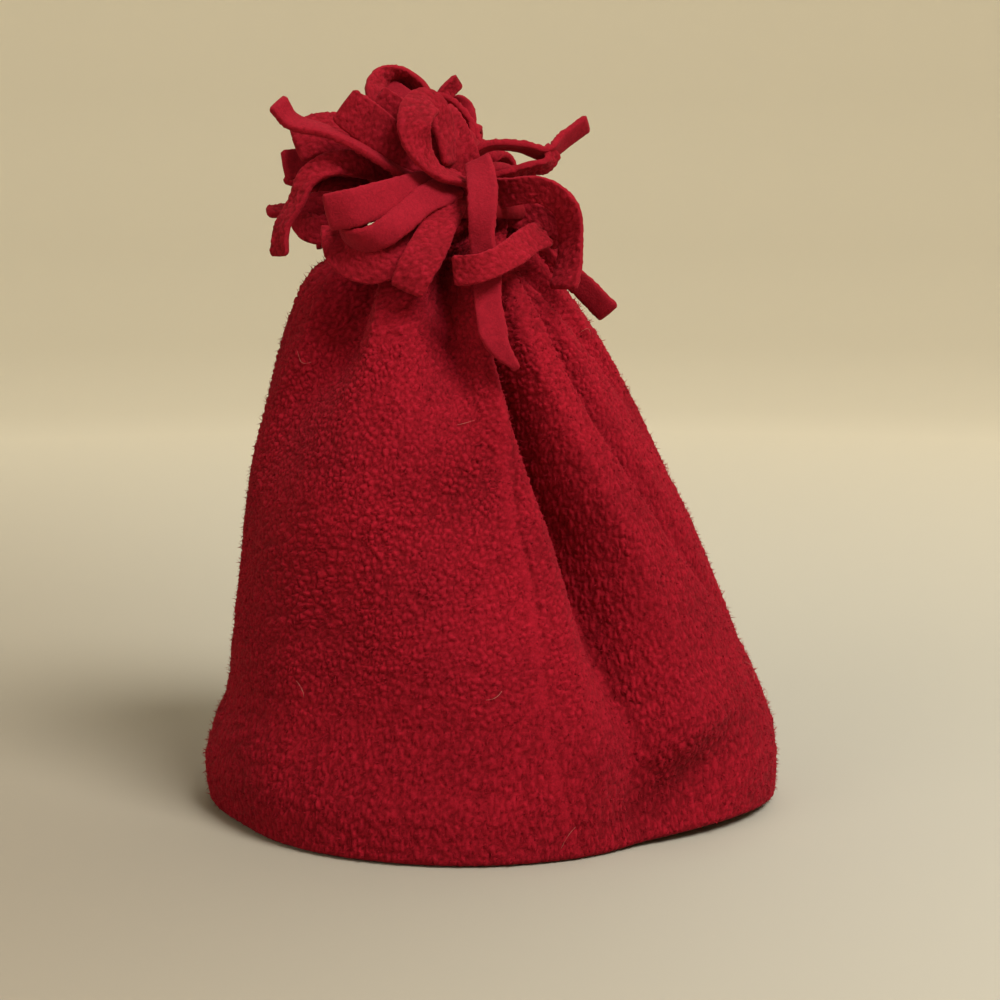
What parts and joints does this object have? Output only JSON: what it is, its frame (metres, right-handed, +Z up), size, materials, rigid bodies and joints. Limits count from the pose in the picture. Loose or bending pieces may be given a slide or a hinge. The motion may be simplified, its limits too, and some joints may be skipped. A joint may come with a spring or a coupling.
{
  "type": "fringed fleece beanie",
  "caption": "Soft tube-shaped fleece beanie with a turned-up hem, its top gathered and tied and the cloth above the tie cut into a mop of fringe strips.",
  "frame": {"origin": "middle of the rim's outline on the surface it rests on", "axes": "+Z up out of the gathered top, -Y out of the front where the upright seam is, +X to the right of someone looking at the front"},
  "size_m": [0.1888, 0.157, 0.2361],
  "materials": {
    "pile_fleece": "high curly pile, matt with a soft sheen",
    "hem_fleece": "high curly pile, matt",
    "tie_cloth": "smooth brushed knit",
    "fringe_fleece": "short nap on one side, smooth brushed knit on the other"
  },
  "bodies": {
    "root": {"crown": "pile_fleece", "turned_hem": "hem_fleece", "gather_tie": "tie_cloth", "fringe": "fringe_fleece"}
  },
  "joints": []
}
